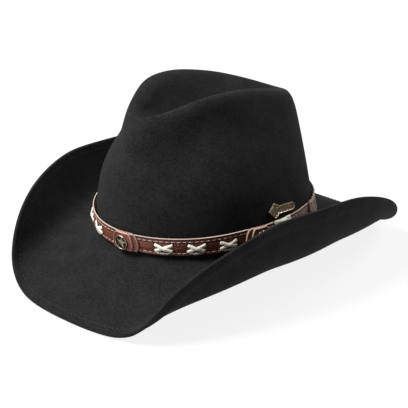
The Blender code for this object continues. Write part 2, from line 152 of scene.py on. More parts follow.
# a point of the brim's upper face, out from 0 at the head line to 1 at the rim
def brimPoint(turn, out):
    flat = headLine(turn).lerp(flatRim(turn), out)
    along = flat.y / (head["length"] / 2 + brim["front"])
    start, radius, most = rowAt(rollRows, max(-1, min(1, along)))
    start, radius, most = start * head["width"] / 2, radius * brim["side"], math.radians(most)
    past = max(abs(flat.x) - start, 0)
    angle = min(past / radius, most)
    straight = past - angle * radius
    x = min(abs(flat.x), start) + radius * math.sin(angle) + straight * math.cos(angle)
    rise = radius * (1 - math.cos(angle)) + straight * math.sin(angle)
    y, drop = brimFall(flat.y)
    proud = brim["breakWave"] * math.cos(2 * turn) + brim["breakTilt"] * math.cos(turn)
    wave = proud * (1 - out) ** brim["breakFade"]
    side = math.sin(turn)
    sag = brim["sag"] * math.sin(math.pi * min(1, out / brim["sagReach"])) * side ** 2
    uneven = 1 - brim["settleBack"] * math.cos(turn)
    settled = brim["settle"] * uneven * out ** 2 * max(0, -side) ** 4
    return Vector((math.copysign(x, flat.x), y, rise - drop + wave - sag - settled))


# what the crown's wall is like at a turn, worked out once for each turn
wallSections = {}


def wallSection(turn):
    if turn not in wallSections:
        degrees = math.degrees(turn)
        around = abs((degrees + 180) % 360 - 180)
        half, reach, high, belly, pinch = rowAt(crownRows, around)
        side = 1 if 0 <= degrees <= 180 else -1
        crest = Vector((
            side * half * head["width"] / 2, -reach * head["length"] / 2, high * head["height"],
        ))
        wallSections[turn] = brimPoint(turn, 0), crest, headOutward(turn), belly, pinch
    return wallSections[turn]


# a point of the crown's wall at a height above the head line
def wallPoint(turn, height, outward=0.0):
    base, crest, facing, belly, pinch = wallSection(turn)
    share = height / (crest.z - base.z)
    low = max(share, 0) ** head["bellyCurve"]
    dent = math.exp(-((share - head["pinchUp"]) / head["pinchSpread"]) ** 2)
    swell = (4 * belly * low * (1 - low) - pinch * dent) * head["width"] / 2
    return base.lerp(crest, share) + facing * (swell + outward)


restTurn = Matrix.Rotation(stand["tip"], 3, "X")


# from the hat's own frame to where it rests on the floor
def placed(point):
    return restTurn @ point + Vector((0, 0, stand["lift"]))


# a point at a height over the band's lower edge, which is a little higher at the hat's sides
def bandPoint(turn, up, out):
    lift = band["lift"] + band["rise"] * abs(math.sin(turn)) ** band["riseFade"]
    return wallPoint(turn, lift + up, band["gap"] + band["thickness"] + out)


def bandLengths():
    steps = 720
    turns = [2 * math.pi * step / steps - math.pi for step in range(steps + 1)]
    places = [bandPoint(turn, band["height"] / 2, 0) for turn in turns]
    lengths = [0.0]
    for before, after in zip(places, places[1:]):
        lengths.append(lengths[-1] + (after - before).length)
    return turns, [length - lengths[steps // 2] for length in lengths]


bandTurns, bandAlong = bandLengths()
bandEnd = (bandAlong[-1] - bandAlong[0]) / 2
print("band is", round(2000 * bandEnd), "mm long")


# a place on the band: along it from the front, up from its lower edge, and out from its face
def bandPlace(along, up, out):
    low, high = 0, len(bandAlong) - 1
    while high - low > 1:
        middle = (low + high) // 2
        if bandAlong[middle] > along:
            high = middle
        else:
            low = middle
    share = (along - bandAlong[low]) / (bandAlong[high] - bandAlong[low])
    first = bandPoint(bandTurns[low], up, out)
    return placed(first.lerp(bandPoint(bandTurns[high], up, out), share))


# the same place as a matrix: x along the band, y up and z out
def bandFrame(along, up, out, reach):
    sideways = bandPlace(along + reach, up, out) - bandPlace(along - reach, up, out)
    upwards = bandPlace(along, up + reach, out) - bandPlace(along, up - reach, out)
    return turnedTo(bandPlace(along, up, out), sideways, upwards)


def turnedTo(centre, sideways, upwards):
    outward = sideways.cross(upwards).normalized()
    sideways = sideways.normalized()
    turned = Matrix((sideways, outward.cross(sideways), outward)).transposed().to_4x4()
    return Matrix.Translation(centre) @ turned


# a node's output, with arithmetic that adds Math nodes
class Wire:
    def __init__(self, tree, socket=None):
        self.tree = tree
        self.socket = socket

    # any node: its settings first, then the values or links of its sockets
    def add(self, kind, settings, values, output=0):
        node = self.tree.nodes.new(kind)
        for name, value in settings.items():
            setattr(node, name, value)
        for name, value in values.items():
            if isinstance(value, Wire):
                self.tree.links.new(value.socket, node.inputs[name])
            else:
                node.inputs[name].default_value = value
        return Wire(self.tree, node.outputs[output])

    def sum(self, operation, *values):
        return self.add("ShaderNodeMath", {"operation": operation}, dict(enumerate(values)))

    def __add__(self, other):
        return self.sum("ADD", self, other)

    def __sub__(self, other):
        return self.sum("SUBTRACT", self, other)

    def __rsub__(self, other):
        return self.sum("SUBTRACT", other, self)

    def __mul__(self, other):
        return self.sum("MULTIPLY", self, other)

    __radd__ = __add__
    __rmul__ = __mul__

    # 0 below low, 1 above high, and smooth between them
    def between(self, low, high):
        settings = {"interpolation_type": "SMOOTHSTEP"}
        return self.add("ShaderNodeMapRange", settings, {0: self, 1: low, 2: high})

    # 1 within reach of a value, fading over soft
    def near(self, value, reach, soft):
        return 1 - self.sum("ABSOLUTE", self - value).between(reach, reach + soft)

    def blend(self, first, second):
        first = (*first, 1) if isinstance(first, tuple) else first
        second = (*second, 1) if isinstance(second, tuple) else second
        return self.add("ShaderNodeMix", {"data_type": "RGBA"}, {0: self, 6: first, 7: second}, 2)

    def noise(self, scale, detail, roughness):
        values = {"Vector": self, "Scale": scale, "Detail": detail, "Roughness": roughness}
        return self.add("ShaderNodeTexNoise", {}, values)

    def bump(self, distance):
        return self.add("ShaderNodeBump", {}, {"Distance": distance, "Height": self})


# a new material, and the wire that carries places on the piece
def newFinish(name):
    material = bpy.data.materials.new(name)
    material.use_nodes = True
    place = Wire(material.node_tree).add("ShaderNodeTexCoord", {}, {}, "Object")
    return material, place


def setFinish(material, values):
    shader = material.node_tree.nodes["Principled BSDF"]
    for name, value in values.items():
        if isinstance(value, Wire):
            material.node_tree.links.new(value.socket, shader.inputs[name])
        else:
            shader.inputs[name].default_value = value


feltLook = {
    "dark": (0.0050, 0.0050, 0.0052), "light": (0.0190, 0.0190, 0.0190), "tones": (0.32, 0.68),
    "fleck": 1100, "nap": 440, "cloud": 60, "napDepth": 0.00016,
    "roughness": 0.95, "shine": 0.06, "sheen": 0.02, "sheenRoughness": 0.5,
    "weld": 0.00001, "quadAngle": math.radians(50), "levels": 2, "allSmooth": 180,
}


def feltFinish():
    material, place = newFinish("blackFelt")
    fleck = place.noise(feltLook["fleck"], 2, 0.65)
    nap = place.noise(feltLook["nap"], 3, 0.6)
    cloud = place.noise(feltLook["cloud"], 2, 0.5)
    tone = (0.5 * fleck + 0.3 * nap + 0.2 * cloud).between(*feltLook["tones"])
    setFinish(material, {
        "Base Color": tone.blend(feltLook["dark"], feltLook["light"]),
        "Roughness": feltLook["roughness"],
        "Specular IOR Level": feltLook["shine"],
        "Sheen Weight": feltLook["sheen"],
        "Sheen Roughness": feltLook["sheenRoughness"],
        "Normal": (0.6 * fleck + 0.4 * nap).bump(feltLook["napDepth"]),
    })
    return material


# leather: its tones, its pale edge (partly the cut edge's own paler tone, partly painted highlight
# where the edges catch the light), the lines creased along it and its tooled field
leatherLook = {
    "deep": (0.022, 0.007, 0.005), "antique": 110, "grain": 1700, "tones": (0.36, 0.64),
    "creaseReach": 0.0002, "creaseSoft": 0.0004, "creaseDark": 0.85,
    "stamp": 560, "stampSmooth": 0.35, "stampTones": (0.2, 0.6), "stampDark": 0.55,
    "field": (0.0044, 0.0048), "patch": 45, "patchTones": (0.47, 0.55), "stampHigh": 1.5,
    "roughness": 0.38, "shine": 0.35, "depth": 0.0002,
}
bandTones = (0.085, 0.0195, 0.0098), (0.160, 0.0400, 0.0190)
tabTones = (0.100, 0.0260, 0.0150), (0.190, 0.0560, 0.0360)
keeperTones = (0.050, 0.0190, 0.0140), (0.210, 0.1000, 0.0800)
# the pale edge tones are partly the leather's paler cut edge and partly painted highlight on the
# lit edges
bandEdge = {"tone": (0.50, 0.42, 0.37), "width": 0.0004, "creases": (0.0013, 0.0043)}
tabEdge = {"tone": (0.40, 0.28, 0.23), "width": 0.0009, "creases": ()}


# the attribute fromEdge holds each vertex's distance from the leather's cut edge
def leatherFinish(name, tones, edge, tooled):
    material, place = newFinish(name)
    fromEdge = place.add("ShaderNodeAttribute", {"attribute_name": "fromEdge"}, {}, "Fac")
    antique = place.noise(leatherLook["antique"], 3, 0.6)
    grain = place.noise(leatherLook["grain"], 3, 0.6)
    tone = (0.7 * antique + 0.3 * grain).between(*leatherLook["tones"]).blend(*tones)
    rise = 0.3 * grain
    for line in edge["creases"]:
        crease = fromEdge.near(line, leatherLook["creaseReach"], leatherLook["creaseSoft"])
        tone = (leatherLook["creaseDark"] * crease).blend(tone, leatherLook["deep"])
    if tooled:
        cells = place.add("ShaderNodeTexVoronoi", {"feature": "SMOOTH_F1"}, {
            "Vector": place, "Scale": leatherLook["stamp"],
            "Smoothness": leatherLook["stampSmooth"],
        })
        stamped = cells.between(*leatherLook["stampTones"])
        field = fromEdge.between(*leatherLook["field"])
        patches = place.noise(leatherLook["patch"], 1, 0.5).between(*leatherLook["patchTones"])
        patch = field * patches
        dark = leatherLook["stampDark"] * patch * (1 - stamped)
        tone = dark.blend(tone, leatherLook["deep"])
        rise = rise + leatherLook["stampHigh"] * patch * stamped
    # pale edge: partly the cut edge's own tone, partly painted highlight along the lit edges
    pale = 1 - fromEdge.between(edge["width"] * 0.6, edge["width"] * 1.2)
    setFinish(material, {
        "Base Color": (pale * (0.6 + 0.5 * antique)).blend(tone, edge["tone"]),
        "Roughness": leatherLook["roughness"] + 0.25 * grain + 0.3 * pale,
        "Specular IOR Level": leatherLook["shine"],
        "Normal": rise.bump(leatherLook["depth"]),
    })
    return material


plainLook = {"tones": (0.38, 0.62), "uneven": 0.2, "shine": 0.3}


# a finish mottled between two tones: the mottle's scale, the roughness and the bump's depth
def plainFinish(name, first, second, scale, roughness, depth, metallic=0.0):
    material, place = newFinish(name)
    mottle = place.noise(scale, 3, 0.6)
    setFinish(material, {
        "Base Color": mottle.between(*plainLook["tones"]).blend(first, second),
        "Roughness": roughness + plainLook["uneven"] * mottle,
        "Metallic": metallic,
        "Specular IOR Level": plainLook["shine"],
        "Normal": mottle.bump(depth),
    })
    return material


felt = feltFinish()
bandLeather = leatherFinish("bandLeather", bandTones, bandEdge, True)
tabLeather = leatherFinish("tabLeather", tabTones, tabEdge, False)
keeperLeather = leatherFinish("keeperLeather", keeperTones, tabEdge, False)
lacing = plainFinish("creamLacing", (0.66, 0.61, 0.50), (0.86, 0.83, 0.74), 800, 0.55, 0.0002)
# painted shade: the cream lacing's colour darkened for the strand that lies in shade along the
# band's lower edge
shadedLacing = plainFinish("shadedLacing", (0.20, 0.14, 0.12), (0.50, 0.42, 0.37), 700, 0.7, 0.0003)
bandThread = plainFinish("creamThread", (0.26, 0.19, 0.15), (0.50, 0.42, 0.36), 900, 0.7, 0.0001)
hatThread = plainFinish(
    "feltThread", (0.010, 0.010, 0.010), (0.026, 0.026, 0.026), 500, 0.8, 0.0001,
)
bronze = plainFinish("agedBronze", (0.20, 0.155, 0.10), (0.50, 0.43, 0.31), 420, 0.28, 0.0001, 1.0)
badgeBronze = plainFinish(
    "badgeBronze", (0.40, 0.32, 0.21), (0.72, 0.60, 0.43), 700, 0.30, 0.0001, 1.0,
)
darkBronze = plainFinish(
    "darkBronze", (0.12, 0.092, 0.058), (0.42, 0.34, 0.23), 1100, 0.36, 0.0003, 1.0,
)
# painted shade: a near-black finish for the disc that fills the concho's gaps where only shade
# falls
gapShade = plainFinish("paintedGapShade", (0.006, 0.005, 0.004), (0.020, 0.016, 0.010), 700, 0.6, 0.0001)
laceHole = plainFinish("laceHole", (0.004, 0.003, 0.002), (0.010, 0.006, 0.004), 900, 0.8, 0.0001)
print("finishes made")


# a grid whose vertices move to place(column, row)
def shapedGrid(columns, rows, place):
    bm = bmesh.new()
    bmesh.ops.create_grid(bm, x_segments=columns, y_segments=rows, size=1)
    for vertex in bm.verts:
        column = round((vertex.co.x + 1) / 2 * columns)
        row = round((vertex.co.y + 1) / 2 * rows)
        vertex.co = place(column, row)
    return bm


# adds one mesh to another at each of some matrices
def lay(bm, part, matrices=(Matrix(),)):
    pattern = bpy.data.meshes.new("pattern")
    part.to_mesh(pattern)
    part.free()
    for matrix in matrices:
        copy = pattern.copy()
        copy.transform(matrix)
        bm.from_mesh(copy)
        bpy.data.meshes.remove(copy)
    bpy.data.meshes.remove(pattern)


# gives faces a thickness, down to the height that bottom gives for a vertex; fromEdge gives a
# vertex's distance from the leather's edge, and underEdge is that of the lower face
def thicken(bm, bottom, fromEdge, underEdge):
    layer = bm.verts.layers.float.new("fromEdge")
    grown = bmesh.ops.extrude_face_region(bm, geom=bm.faces[:])
    under = [item for item in grown["geom"] if isinstance(item, bmesh.types.BMVert)]
    for vertex in bm.verts:
        vertex[layer] = fromEdge(vertex.co)
    for vertex in under:
        vertex.co.z = bottom(vertex.co)
        vertex[layer] = underEdge


# bends a flat piece round the band: x along it, y up and z out
def bendOnBand(bm, along=0.0, up=0.0):
    for vertex in bm.verts:
        vertex.co = bandPlace(vertex.co.x + along, vertex.co.y + up, vertex.co.z)


# a finished piece: its faces turned out, smooth, riding on the hat and standing for its solids
def makePiece(name, bm, material, stands=(), sharp=60):
    bmesh.ops.recalc_face_normals(bm, faces=bm.faces)
    mesh = bpy.data.meshes.new(name)
    bm.to_mesh(mesh)
    bm.free()
    mesh.shade_smooth()
    mesh.set_sharp_from_angle(angle=math.radians(sharp))
    mesh.materials.append(material)
    piece = bpy.data.objects.new(name, mesh)
    bpy.context.scene.collection.objects.link(piece)
    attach(piece, "root")
    if stands:
        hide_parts(*stands)
    return piece


# the felt: the solid's own mesh, merged, made of quads and refined
def makeFeltHat():
    bm = bmesh.new()
    bm.from_mesh(nodes["felt_body"].data)
    bmesh.ops.remove_doubles(bm, verts=bm.verts, dist=feltLook["weld"])
    bmesh.ops.join_triangles(
        bm, faces=bm.faces, angle_face_threshold=feltLook["quadAngle"],
        angle_shape_threshold=feltLook["quadAngle"],
    )
    piece = makePiece("felt_hat", bm, felt, ["felt_body"], feltLook["allSmooth"])
    refine = piece.modifiers.new("refine", "SUBSURF")
    refine.levels = refine.render_levels = feltLook["levels"]
    return piece


feltHat = makeFeltHat()
print("felt hat made")

# the band: rounded edges, a bead along them and creased lines; edge is how thick it is along its
# upper edge, thinned how far down that goes, and hidden what its lower edge adds to fromEdge
bandLook = {
    "columns": 480, "round": 0.0005, "bead": 0.0003, "crease": 0.0003, "creaseRow": 0.00003,
    "edge": 0.0006, "thinned": 0.0035, "hidden": 0.0008, "weld": 0.00002, "endWeld": 0.000001,
    "rows": (0, 0.0002, 0.0005, 0.0008, 0.0011, 0.0013, 0.0015, 0.0020, 0.0030,
             0.0041, 0.0043, 0.0045, 0.0060, 0.0075, 0.0090, 0.0105, 0.0107, 0.0109,
             0.0120, 0.0130, 0.0135, 0.0137, 0.0139, 0.0142, 0.0145, 0.0148, 0.0150),
}


# how far leather stands out by its distance from its edge
def edgeRelief(fromEdge, rounding, bead, width):
    share = max(0, rounding - fromEdge) / rounding
    relief = -rounding * (1 - math.sqrt(1 - share ** 2))
    if fromEdge < width:
        relief += bead * math.sin(math.pi * fromEdge / width)
    return relief


def makeBand():
    rows = bandLook["rows"]

    def place(column, row):
        up = rows[row]
        fromEdge = min(up, band["height"] - up)
        out = edgeRelief(fromEdge, bandLook["round"], bandLook["bead"], bandEdge["creases"][0])
        if min(abs(fromEdge - line) for line in bandEdge["creases"]) < bandLook["creaseRow"]:
            out -= bandLook["crease"]
        return Vector(((2 * column / bandLook["columns"] - 1) * bandEnd, up, out))

    # the leather is thin along its upper edge
    def bottom(co):
        thin = co.y > band["height"] - bandLook["thinned"]
        return -bandLook["edge"] if thin else -band["thickness"]

    # the lower edge, which is hidden, isn't pale
    def fromEdge(co):
        return min(co.y + bandLook["hidden"], band["height"] - co.y)

    def atEnd(vertex):
        return abs(abs(vertex.co.x) - bandEnd) < bandLook["endWeld"]

    bm = shapedGrid(bandLook["columns"], len(rows) - 1, place)
    thicken(bm, bottom, fromEdge, 0)
    ends = [face for face in bm.faces if all(atEnd(vertex) for vertex in face.verts)]
    bmesh.ops.delete(bm, geom=ends, context="FACES_ONLY")
    bendOnBand(bm)
    bmesh.ops.remove_doubles(bm, verts=bm.verts, dist=bandLook["weld"])
    makePiece("leather_band", bm, bandLeather, ["hat_band"])


makeBand()

stitchLook = {
    "rows": (0.0022, 0.0120), "pitch": 0.0047, "long": 0.0037, "wide": 0.0008, "high": 0.0006,
    "reach": 0.002,
}


# one stitch: a stretched ball, its poles at the stitch's ends
def oneStitch(look):
    bm = bmesh.new()
    size = Matrix.Diagonal((look["long"] / 2, look["wide"] / 2, look["high"] / 2, 1))
    size = size @ Matrix.Rotation(math.pi / 2, 4, "Y")
    bmesh.ops.create_uvsphere(bm, u_segments=10, v_segments=8, radius=1, matrix=size)
    return bm


def makeBandStitches():
    count = int(2 * bandEnd / stitchLook["pitch"])
    places = [((number + 0.5) / count * 2 - 1) * bandEnd for number in range(count)]
    bm = bmesh.new()
    lay(bm, oneStitch(stitchLook), [
        bandFrame(along, up, 0, stitchLook["reach"])
        for up in stitchLook["rows"] for along in places
    ])
    makePiece("band_stitches", bm, bandThread, sharp=35)


makeBandStitches()
print("band made")

# the stitches that hold the brim's folded edge, on its upper face: each is dropped onto it from
# the height above, by reach at most
weltLook = {
    "in": 0.0070, "pitch": 0.0040, "long": 0.0026, "wide": 0.0009, "high": 0.0008,
    "inner": 0.8, "steps": 720, "above": 0.008, "reach": 0.02,
}


# a place on the stitch row, with the way out of the brim's upper face
def weltPlace(turn):
    inner, rim = brimPoint(turn, weltLook["inner"]), brimPoint(turn, 1)
    share = 1 - (1 - weltLook["inner"]) * weltLook["in"] / (rim - inner).length
    step = 0.01
    sideways = brimPoint(turn + step, share) - brimPoint(turn - step, share)
    return placed(brimPoint(turn, share)), (restTurn @ (rim - inner).cross(sideways)).normalized()


def makeBrimStitches():
    steps = weltLook["steps"]
    line = [weltPlace(2 * math.pi * step / steps) for step in range(steps + 1)]
    lengths = [0.0]
    for before, after in zip(line, line[1:]):
        lengths.append(lengths[-1] + (after[0] - before[0]).length)
    count = round(lengths[-1] / weltLook["pitch"])
    graph = bpy.context.evaluated_depsgraph_get()
    surface = BVHTree.FromObject(feltHat, graph)
    matrices = []
    at = 0
    for number in range(count):
        wanted = (number + 0.5) * lengths[-1] / count
        while lengths[at + 1] < wanted:
            at += 1
        share = (wanted - lengths[at]) / (lengths[at + 1] - lengths[at])
        middle = line[at][0].lerp(line[at + 1][0], share)
        along = line[at + 1][0] - line[at][0]
        above = line[at][1]
        start = middle + above * weltLook["above"]
        hit, normal = surface.ray_cast(start, -above, weltLook["reach"])[:2]
        if hit:
            matrices.append(turnedTo(hit, along, normal.cross(along)))
    bm = bmesh.new()
    lay(bm, oneStitch(weltLook), matrices)
    makePiece("brim_stitches", bm, hatThread, sharp=35)


makeBrimStitches()
print("brim stitched")


# a crossed lacing: two strands, the second over the first by its hump, each diving into its holes
laceLook = {
    "width": 0.0029, "thickness": 0.0015, "out": 0.0005, "hump": 0.0009, "humpSpread": 0.4,
    "dive": 0.0009, "diveCurve": 9, "taper": 12, "ripple": 0.06, "ripples": 9, "steps": 28,
    "long": (0.94, 1.0), "lift": (0.95, 1.1), "drop": (0.7, 0.9), "bow": (-0.0004, 0.0004),
    "hole": (0.0012, 0.0016, 0.00025, 1), "holeOut": (1.02, 1.03), "around": 12, "weld": 0.000005,
}
# the lower piece of lacing under each cross, along the band's lower edge; its finish is the cream
# lacing darkened as painted shade
lowStrandLook = {
    "width": 0.0022, "thickness": 0.0014, "reach": 0.75, "bow": 0.0011, "below": 0.0013,
    "rise": 0.97, "waver": 0.0001, "out": 0.0003, "taper": 8,
}


# a strand: a grid rolled round a line of places, each with its share of the full thickness
def addStrand(bm, line, width, thickness):
    around = laceLook["around"]

    def place(column, row):
        before, after = line[max(column - 1, 0)], line[min(column + 1, len(line) - 1)]
        ahead = Vector((after[0] - before[0], after[1] - before[1], 0)).normalized()
        across = Vector((-ahead.y, ahead.x, 0))
        x, y, z, share = line[column]
        angle = 2 * math.pi * row / around
        section = across * math.cos(angle) * width / 2
        section.z = math.sin(angle) * thickness / 2
        return Vector((x, y, z)) + share * section

    strand = shapedGrid(len(line) - 1, around, place)
    bmesh.ops.remove_doubles(strand, verts=strand.verts, dist=laceLook["weld"])
    lay(bm, strand)


def makeCross(along, up, reach, rise, seed):
    pick = random.Random(seed)
    bm, lowStrand, holes = bmesh.new(), bmesh.new(), bmesh.new()
    steps = laceLook["steps"]
    ends = []
    for slope, hump in ((1, 0.0), (-1, laceLook["hump"])):
        long = reach * pick.uniform(*laceLook["long"])
        lift, drop = pick.uniform(*laceLook["lift"]), pick.uniform(*laceLook["drop"])
        bow = pick.uniform(*laceLook["bow"])
        line = []
        for step in range(steps + 1):
            share = 2 * step / steps - 1
            y = slope * share * rise
            y = y * (lift if y > 0 else drop) + bow * (1 - share ** 2)
            z = laceLook["out"] + hump * math.exp(-(share / laceLook["humpSpread"]) ** 2)
            z -= laceLook["dive"] * abs(share) ** laceLook["diveCurve"]
            full = math.sqrt(max(0, 1 - abs(share) ** laceLook["taper"]))
            full *= 1 + laceLook["ripple"] * math.sin(laceLook["ripples"] * share + seed)
            line.append((share * long, y, z, full))
        addStrand(bm, line, laceLook["width"], laceLook["thickness"])
        ends += [line[1], line[-2]]
    line = []
    for step in range(steps + 1):
        share = 2 * step / steps - 1
        y = lowStrandLook["bow"] * share ** 2 - lowStrandLook["below"] - lowStrandLook["rise"] * rise
        y += pick.uniform(-lowStrandLook["waver"], lowStrandLook["waver"])
        z = lowStrandLook["out"] + pick.uniform(0, lowStrandLook["out"])
        full = math.sqrt(max(0, 1 - share ** lowStrandLook["taper"]))
        line.append((share * reach * lowStrandLook["reach"], y, z, full))
    addStrand(lowStrand, line, lowStrandLook["width"], lowStrandLook["thickness"])
    hole = bmesh.new()
    bmesh.ops.create_uvsphere(hole, u_segments=14, v_segments=8, radius=1)
    outX, outY = laceLook["holeOut"]
    lay(holes, hole, [
        Matrix.Translation((end[0] * outX, end[1] * outY, 0)) @ Matrix.Diagonal(laceLook["hole"])
        for end in ends
    ])
    for part in (bm, lowStrand, holes):
        bendOnBand(part, along, up)
    return bm, lowStrand, holes


# along the band: the front concho's place, the way from it to a side concho, and from there to
# the keeper and to the last cross; then the middle one of the three crosses and their pitch
shift = 0.006
tabPitch, keeperPitch, lastCross = 0.119, 0.078, 0.0275
crossMiddle, crossPitch = 0.0625, 0.0265
# a cross: its middle's height, half its length and half the rise of its strands
flatCross, fullCross = (0.0135, 0.0122, 0.0009), (0.0062, 0.0081, 0.0032)
crosses = [(side * (tabPitch + lastCross), *flatCross) for side in (-1, 1)]
crosses += [
    (side * crossMiddle + count * crossPitch, *fullCross)
    for side in (-1, 1) for count in (-1, 0, 1)
]


def makeLacing():
    allLowStrands, allHoles = bmesh.new(), bmesh.new()
    for number, (where, *sizes) in enumerate(sorted(crosses), start=1):
        strands, lowStrand, holes = makeCross(shift + where, *sizes, number)
        lay(allLowStrands, lowStrand)
        lay(allHoles, holes)
        makePiece(f"lacing_{number}", strands, lacing, [f"lace_cross_{number}"])
    # the low strands get the darker lacing finish, which is painted shade
    makePiece("lacing_low_strands", allLowStrands, shadedLacing)
    makePiece("lacing_holes", allHoles, laceHole)


makeLacing()
print("lacing made")

# a tab: leather round the band with bowed ends, in two layers; a keeper has one. Each layer has
# its ends, its ends' bow, and the heights of its upper and its lower face over the band
tabLook = {
    "height": 0.0157, "round": 0.0005, "bead": 0.0005, "beadWidth": 0.0019,
    "columns": 30, "rows": 22, "low": 0.0024, "lowReach": 1.2, "roof": 0.0004, "under": 0.0020,
    "upperRow": 0.00001,
    "layers": (
        ((-0.0098, 0.0150), 0.0060, 0.0013, 0.0003),
        ((-0.0093, 0.0103), 0.0050, 0.0026, 0.0010),
    ),
    "keeper": ((-0.0080, 0.0080), 0.0025, 0.0017, 0.0003),
}


# one layer; facing -1 turns its ends round
def addLayer(bm, along, facing, ends, bow, top, bottom):
    left, right = sorted(facing * end for end in ends)
    half = tabLook["height"] / 2

    # the bow's furthest point lies a little below the middle
    def side(y):
        above = y > -tabLook["low"]
        reach = half + tabLook["low"] if above else tabLook["lowReach"] * half - tabLook["low"]
        return bow * (1 - math.sqrt(max(0, 1 - ((y + tabLook["low"]) / reach) ** 2)))

    def spread(at, count):
        return math.sin(math.pi / 2 * (2 * at / count - 1))

    def place(column, row):
        y = half * spread(row, tabLook["rows"])
        low, high = left + side(y), right - side(y)
        x = low + (high - low) * (spread(column, tabLook["columns"]) + 1) / 2
        return Vector((x, y, 0))

    def fromEdge(co):
        return max(0, min(half - abs(co.y), co.x - left - side(co.y), right - side(co.y) - co.x))

    # the upper edge reaches back over the band's own edge
    def under(co):
        return -tabLook["roof"] if co.y > half - tabLook["upperRow"] else bottom

    layer = shapedGrid(tabLook["columns"], tabLook["rows"], place)
    for vertex in layer.verts:
        relief = edgeRelief(
            fromEdge(vertex.co), tabLook["round"], tabLook["bead"], tabLook["beadWidth"],
        )
        vertex.co.z = top + relief
    thicken(layer, under, fromEdge, tabLook["under"])
    bendOnBand(layer, along, half)
    lay(bm, layer)


def makeTab(name, along, facing):
    bm = bmesh.new()
    for sizes in tabLook["layers"]:
        addLayer(bm, along, facing, *sizes)
    makePiece(name, bm, tabLeather, [name.replace("tab", "concho_tab")])


def makeKeeper(name, along):
    bm = bmesh.new()
    addLayer(bm, along, 1, *tabLook["keeper"])
    makePiece(name, bm, keeperLeather, [name.replace("loop", "band_keeper")])


# a concho: a rounded ring, a faceted five-point star inside it and a dark disc behind them, which
# is painted shade for the star's gaps
conchoLook = {
    "radius": 0.0064, "ring": 0.0010, "high": 0.0015, "up": 0.0066, "out": 0.0024,
    "columns": 64, "rows": 16, "weld": 0.000002, "disc": 0.0004, "discSides": 40,
    "waist": 0.34, "tip": 0.0010, "valley": 0.0009, "middle": 0.0017, "base": 0.0002, "turn": -10,
}


def makeConcho(name, along):
    place = bandFrame(along, conchoLook["up"], conchoLook["out"], conchoLook["radius"])
    middle = conchoLook["radius"] - conchoLook["ring"] / 2
    columns, rows = conchoLook["columns"], conchoLook["rows"]

    def ringPlace(column, row):
        around, section = 2 * math.pi * column / columns, 2 * math.pi * row / rows
        reach = middle + conchoLook["ring"] / 2 * math.cos(section)
        out = conchoLook["high"] / 2 * (1 + math.sin(section))
        return Vector((reach * math.cos(around), reach * math.sin(around), out))

    bm = shapedGrid(columns, rows, ringPlace)
    bmesh.ops.remove_doubles(bm, verts=bm.verts, dist=conchoLook["weld"])
    star = bmesh.new()
    bmesh.ops.create_circle(star, cap_ends=True, cap_tris=True, segments=10, radius=middle)
    for vertex in star.verts:
        if vertex.co.length < middle / 2:
            vertex.co.z = conchoLook["middle"]
            continue
        step = round((math.atan2(vertex.co.y, vertex.co.x) - math.pi / 2) / math.radians(36))
        arm = step % 2 == 0
        vertex.co *= 1 if arm else conchoLook["waist"]
        vertex.co.z = conchoLook["tip"] if arm else conchoLook["valley"]
    grown = bmesh.ops.extrude_face_region(star, geom=star.faces[:])
    for item in grown["geom"]:
        if isinstance(item, bmesh.types.BMVert):
            item.co.z = conchoLook["base"]
    turned = Matrix.Rotation(math.radians(conchoLook["turn"]), 3, "Z")
    bmesh.ops.rotate(star, verts=star.verts, matrix=turned)
    lay(bm, star)
    bmesh.ops.transform(bm, verts=bm.verts, matrix=place)
    makePiece(name, bm, bronze, [name.replace("star", "concho")], 30)
    # the disc is painted shade: near black where the star's gaps show only shade
    disc = bmesh.new()
    bmesh.ops.create_cone(
        disc, cap_ends=True, segments=conchoLook["discSides"], radius1=middle, radius2=middle,
        depth=conchoLook["disc"], matrix=place @ Matrix.Translation((0, 0, conchoLook["disc"] / 2)),
    )
    makePiece(name + "_disc", disc, gapShade, sharp=35)


for number, side in enumerate((-1, 0, 1), start=1):
    makeTab(f"tab_{number}", shift + side * tabPitch, -1 if side > 0 else 1)
    makeConcho(f"star_{number}", shift + side * tabPitch)
for number, side in enumerate((-1, 1), start=1):
    makeKeeper(f"loop_{number}", shift + side * (tabPitch + keeperPitch))
print("tabs, conchos and keepers made")

# the badge on the wearer's left: a bare arrow plate with a raised border
badgeLook = {
    "turn": 93.8, "up": 0.0276, "slope": -6.5, "length": 0.034, "body": 0.0068,
    "head": 0.0075, "headHeight": 0.0128, "neck": 0.0053, "thickness": 0.0015, "endSteps": 12,
    "border": 0.0009, "sunk": 0.0006, "sunkEdge": 0.0002, "edge": 0.00025,
    "stud": 0.0024, "studRound": 0.00035, "studPlace": 0.0118, "columns": 32, "rows": 10,
    "weld": 0.000002,
}


